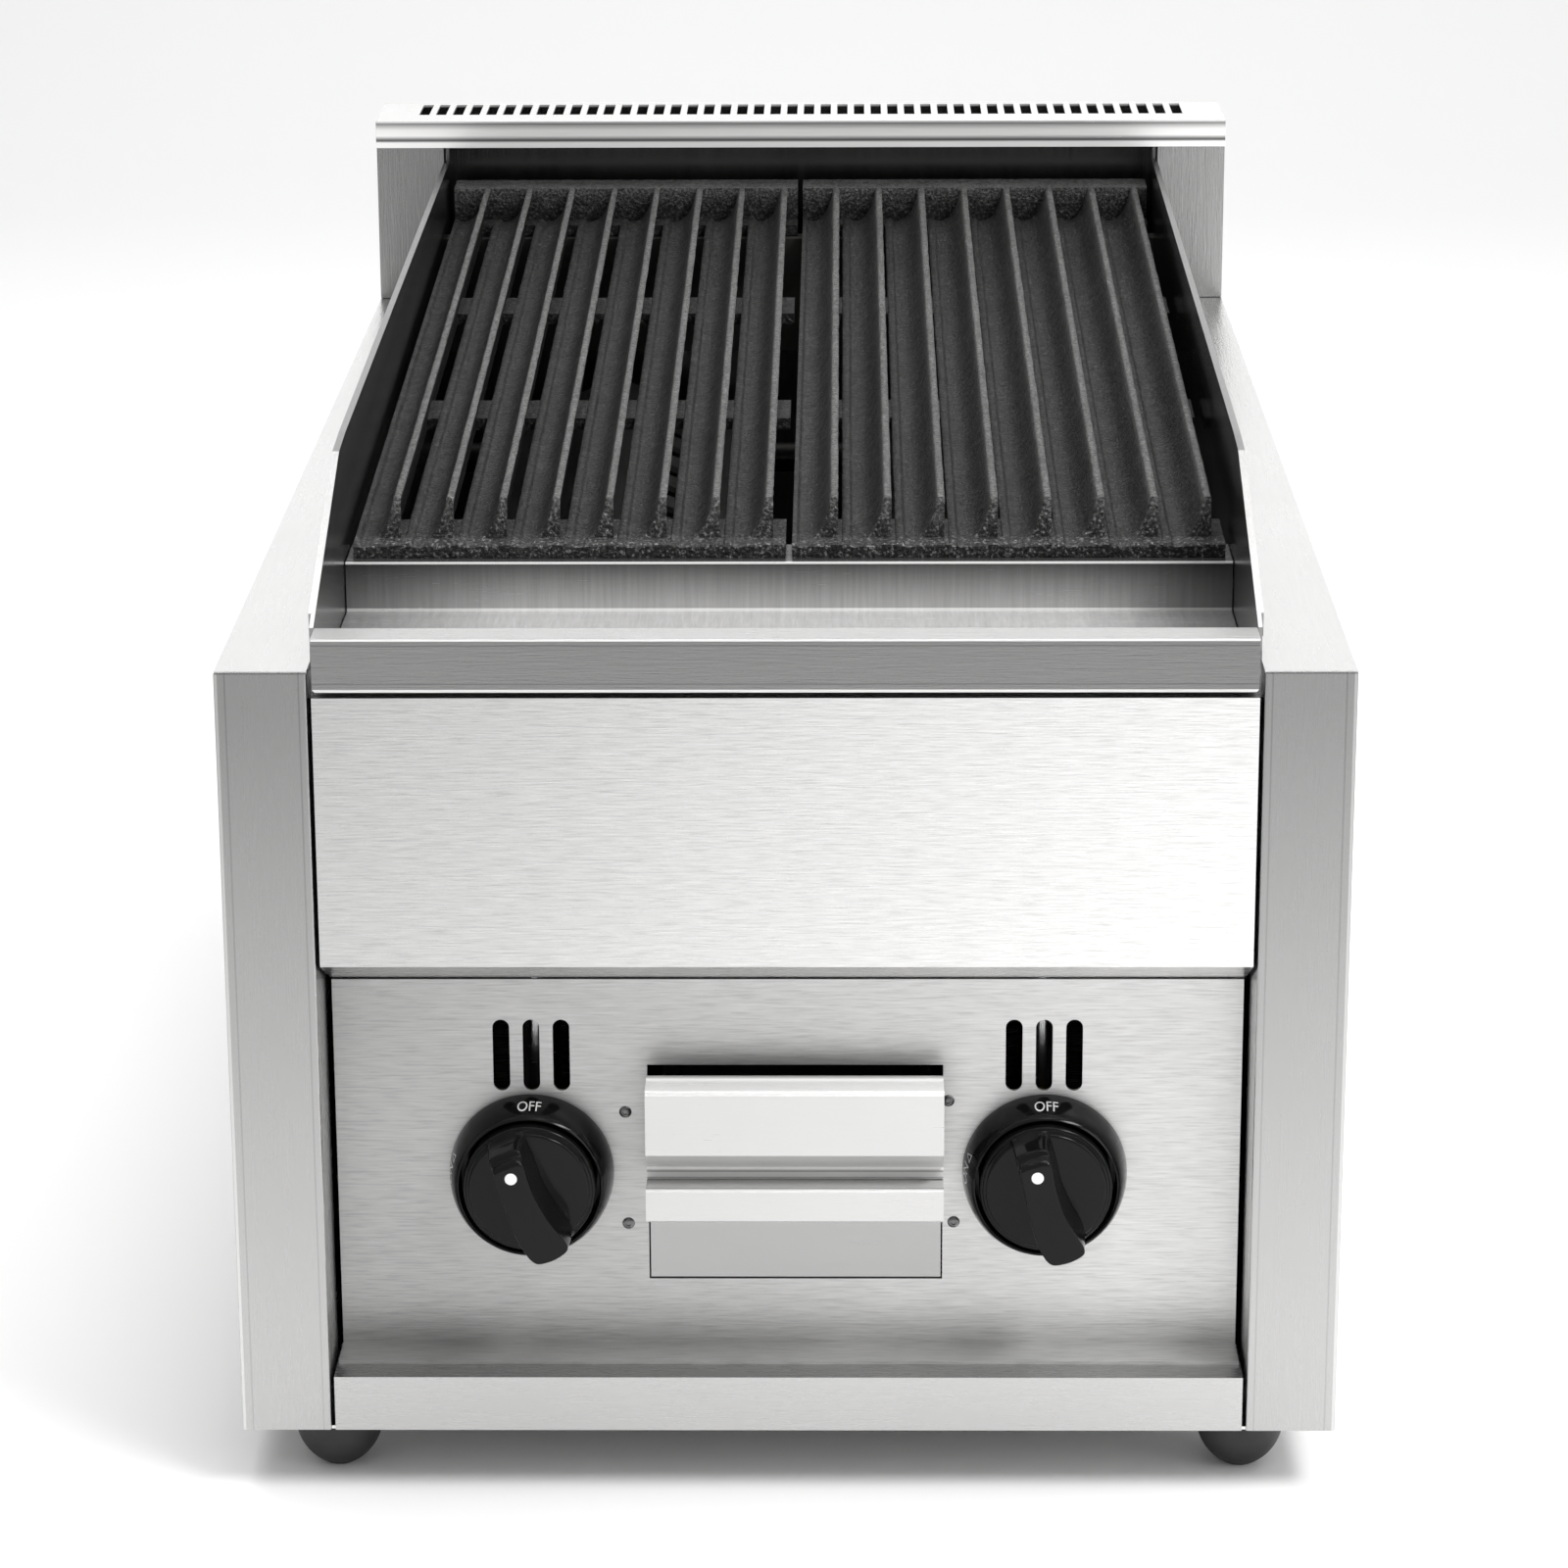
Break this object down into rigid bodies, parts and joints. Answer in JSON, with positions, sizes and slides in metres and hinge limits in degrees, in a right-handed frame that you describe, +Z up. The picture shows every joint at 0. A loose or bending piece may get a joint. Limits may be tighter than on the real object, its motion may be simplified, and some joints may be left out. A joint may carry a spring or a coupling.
{
  "type": "countertop gas charbroiler",
  "caption": "Narrow countertop gas charbroiler: steel cabinet, tilted cast grates between splash guards, front grease gutter and drawer, push-and-turn knobs, slotted rear riser.",
  "frame": {"origin": "on the ground in the middle of the footprint, under the feet", "axes": "+X to the right of someone facing the knobs, +Y to the back, +Z up"},
  "size_m": [0.4, 0.7152, 0.398],
  "materials": {
    "cabinet_steel": "fine brushed, satin",
    "drawer_steel": "mill finish",
    "firebox_steel": "mill finish, dull",
    "radiant_steel": "mill finish",
    "burner_steel": "aluminised, matte",
    "cast_iron": "rough sand cast",
    "knob_black": "gloss",
    "bezel_black": "gloss",
    "foot_rubber": "matte",
    "zinc_steel": "zinc plated",
    "brass": "machined",
    "tube_aluminium": "drawn tube",
    "pipe_steel": "black pipe"
  },
  "bodies": {
    "cabinet": {"base_pan": "cabinet_steel", "bezel_left": "bezel_black", "bezel_right": "bezel_black", "bottom_rail": "cabinet_steel", "burner_left": "burner_steel", "burner_rest": "firebox_steel", "burner_right": "burner_steel", "control_panel": "cabinet_steel", "drawer_runners": "drawer_steel", "drip_chute": "firebox_steel", "drip_pan": "firebox_steel", "feed_tube_left": "tube_aluminium", "feed_tube_right": "tube_aluminium", "feet": "foot_rubber", "firebox_back": "firebox_steel", "firebox_front": "firebox_steel", "foot_screws": "zinc_steel", "gas_inlet": "pipe_steel", "gas_valve_left": "brass", "gas_valve_right": "brass", "grate_rest": "firebox_steel", "grease_gutter": "cabinet_steel", "injector_bracket": "firebox_steel", "injectors": "brass", "manifold": "pipe_steel", "panel_screws": "zinc_steel", "pilot_burners": "tube_aluminium", "post_left": "cabinet_steel", "post_right": "cabinet_steel", "radiant_rests": "firebox_steel", "rear_panel": "cabinet_steel", "rear_rivets": "zinc_steel", "riser": "cabinet_steel", "riser_cap": "cabinet_steel", "side_left": "cabinet_steel", "side_right": "cabinet_steel", "splash_guard_left": "cabinet_steel", "splash_guard_right": "cabinet_steel", "upper_panel": "cabinet_steel"},
    "drawer": {"drawer_box": "drawer_steel", "drawer_front": "cabinet_steel", "drawer_pull": "cabinet_steel"},
    "plug_left": {"valve_plug_left": "brass"},
    "plug_right": {"valve_plug_right": "brass"},
    "knob_left": {"knob_left": "knob_black", "valve_stem_left": "zinc_steel"},
    "knob_right": {"knob_right": "knob_black", "valve_stem_right": "zinc_steel"},
    "grate_left": {"grate_left": "cast_iron"},
    "grate_right": {"grate_right": "cast_iron"},
    "radiant_left": {"radiant_left": "radiant_steel"},
    "radiant_right": {"radiant_right": "radiant_steel"},
    "shutter_left": {"air_shutter_left": "burner_steel"},
    "shutter_right": {"air_shutter_right": "burner_steel"}
  },
  "joints": [
    {"name": "drawer_slide", "type": "slide", "parent": "cabinet", "child": "drawer", "axis": [0, -1, 0], "range_m": [0, 0.26]},
    {"name": "valve_turn_left", "type": "hinge", "parent": "cabinet", "child": "plug_left", "pos_m": [-0.094, -0.3, 0.114], "axis": [0, -1, 0], "range_deg": [-22, 68]},
    {"name": "knob_push_left", "type": "slide", "parent": "plug_left", "child": "knob_left", "axis": [0, 1, 0], "range_m": [0, 0.004], "stiffness_N_per_m": 800, "springref_m": -0.003},
    {"name": "grate_lift_left", "type": "slide", "parent": "cabinet", "child": "grate_left", "axis": [0, -0.7071, 0.7071], "range_m": [0, 0.12]},
    {"name": "radiant_lift_left", "type": "slide", "parent": "cabinet", "child": "radiant_left", "axis": [0, 0, 1], "range_m": [0, 0.03]},
    {"name": "shutter_turn_left", "type": "hinge", "parent": "cabinet", "child": "shutter_left", "pos_m": [-0.086, -0.24, 0.218], "axis": [0, 1, 0], "range_deg": [0, 50]},
    {"name": "valve_turn_right", "type": "hinge", "parent": "cabinet", "child": "plug_right", "pos_m": [0.094, -0.3, 0.114], "axis": [0, -1, 0], "range_deg": [-16.5, 73.5]},
    {"name": "knob_push_right", "type": "slide", "parent": "plug_right", "child": "knob_right", "axis": [0, 1, 0], "range_m": [0, 0.004], "stiffness_N_per_m": 800, "springref_m": -0.003},
    {"name": "grate_lift_right", "type": "slide", "parent": "cabinet", "child": "grate_right", "axis": [0, -0.7071, 0.7071], "range_m": [0, 0.12]},
    {"name": "radiant_lift_right", "type": "slide", "parent": "cabinet", "child": "radiant_right", "axis": [0, 0, 1], "range_m": [0, 0.03]},
    {"name": "shutter_turn_right", "type": "hinge", "parent": "cabinet", "child": "shutter_right", "pos_m": [0.086, -0.24, 0.218], "axis": [0, 1, 0], "range_deg": [0, 50]}
  ]
}
